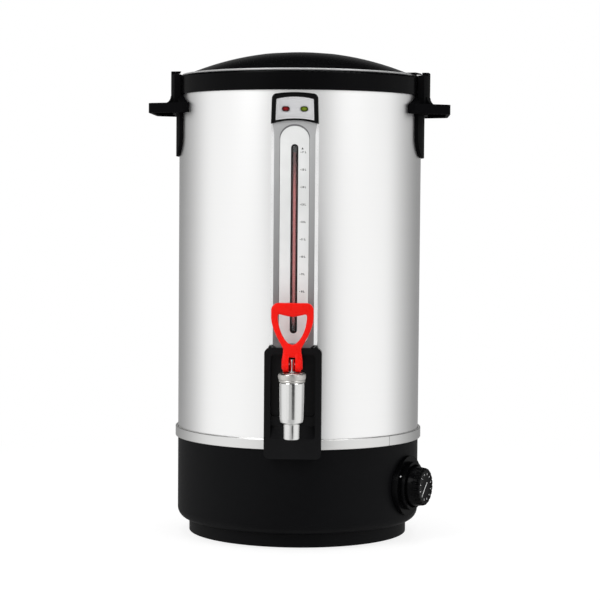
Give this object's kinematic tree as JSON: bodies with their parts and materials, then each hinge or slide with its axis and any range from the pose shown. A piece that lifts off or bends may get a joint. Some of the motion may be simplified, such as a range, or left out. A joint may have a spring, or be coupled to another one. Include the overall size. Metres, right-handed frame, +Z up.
{
  "type": "hot water urn",
  "caption": "Electric hot water urn: steel drum on a black base, domed twist-lock lid, two side handles, front sight gauge and a lever tap.",
  "frame": {"origin": "on the floor under the middle of the urn's outline, with the drum's axis 21.25 mm behind it (+Y)", "axes": "+Z up along the drum, -Y towards the tap, +X to the right of a person facing the tap"},
  "size_m": [0.344, 0.3318, 0.5569],
  "materials": {
    "base_plastic": "satin moulded black",
    "gloss_black": "gloss moulded black",
    "stainless": "brushed",
    "bright_steel": "polished",
    "zinc_steel": "zinc plated",
    "red_plastic": "gloss red",
    "silver_plastic": "silver paint",
    "white_face": "printed white",
    "sight_glass": "clear tube",
    "red_stripe": "red strip",
    "lens_red": "red lens",
    "lens_green": "green lens",
    "rubber": "black rubber",
    "silicone": "pale silicone",
    "fibre": "mineral fibre",
    "aluminium": "cast",
    "copper": "copper tube",
    "element": "oxidised sheath",
    "inner_plastic": "moulded",
    "wire": "wire sleeve",
    "board": "circuit board",
    "brass": "plated brass"
  },
  "bodies": {
    "urn": {"base_shell": "base_plastic", "base_plate": "zinc_steel", "base_screws": "zinc_steel", "feet": "rubber", "drum_shell": "stainless", "lower_band": "stainless", "inner_tank": "stainless", "insulation": "fibre", "collar_ring": "gloss_black", "tank_support": "zinc_steel", "handle_left": "gloss_black", "handle_right": "gloss_black", "handle_screws": "zinc_steel", "tap_housing": "base_plastic", "housing_screw": "zinc_steel", "tap_body": "bright_steel", "tap_bonnet": "bright_steel", "tap_spout": "bright_steel", "tap_spring": "bright_steel", "tap_locknut": "bright_steel", "tap_washers": "silicone", "gauge_frame": "silver_plastic", "gauge_face": "white_face", "sight_tube": "sight_glass", "level_stripe": "red_stripe", "gauge_upper_elbow": "silicone", "gauge_lower_elbow": "silicone", "gauge_nuts": "bright_steel", "indicator_hood": "gloss_black", "indicator_panel": "silver_plastic", "lamp_red": "lens_red", "lamp_green": "lens_green", "lamp_board": "board", "lamp_lead": "wire", "heater_plate": "aluminium", "heating_element": "element", "heater_bracket": "zinc_steel", "thermal_cutout": "inner_plastic", "thermostat_body": "inner_plastic", "knob_bezel": "gloss_black", "capillary_bulb": "copper", "terminal_block": "inner_plastic", "wiring": "wire", "power_inlet": "base_plastic", "inlet_pins": "brass", "inlet_screws": "zinc_steel"},
    "seal": {"lid_gasket": "silicone"},
    "lid": {"lid_dome": "gloss_black", "lid_liner": "stainless"},
    "stem": {"tap_stem": "bright_steel", "tap_seat_cup": "silicone"},
    "lever": {"tap_lever": "red_plastic", "lever_pin": "bright_steel"},
    "control": {"knob": "base_plastic", "thermostat_shaft": "bright_steel"}
  },
  "joints": [
    {"name": "lid_lift", "type": "slide", "parent": "urn", "child": "seal", "axis": [0, 0, 1], "range_m": [0, 0.12]},
    {"name": "lid_turn", "type": "hinge", "parent": "seal", "child": "lid", "pos_m": [0, 0.02162, 0.53], "axis": [0, 0, 1], "range_deg": [0, 25]},
    {"name": "stem_lift", "type": "slide", "parent": "urn", "child": "stem", "axis": [0, 0, 1], "range_m": [0, 0.004], "stiffness_N_per_m": 300, "springref_m": -0.003, "deforming": ["tap_spring"]},
    {"name": "lever_tip", "type": "hinge", "parent": "stem", "child": "lever", "pos_m": [0, -0.15038, 0.2099], "axis": [1, 0, 0], "range_deg": [0, 75]},
    {"name": "knob_turn", "type": "hinge", "parent": "urn", "child": "control", "pos_m": [0.13595, -0.04177, 0.063], "axis": [0.9063, -0.4226, 0], "range_deg": [-270, 0]}
  ],
  "couplings": [
    {"joint": "lever_tip", "follows": "stem_lift", "rad_per_m": 327.24}
  ]
}
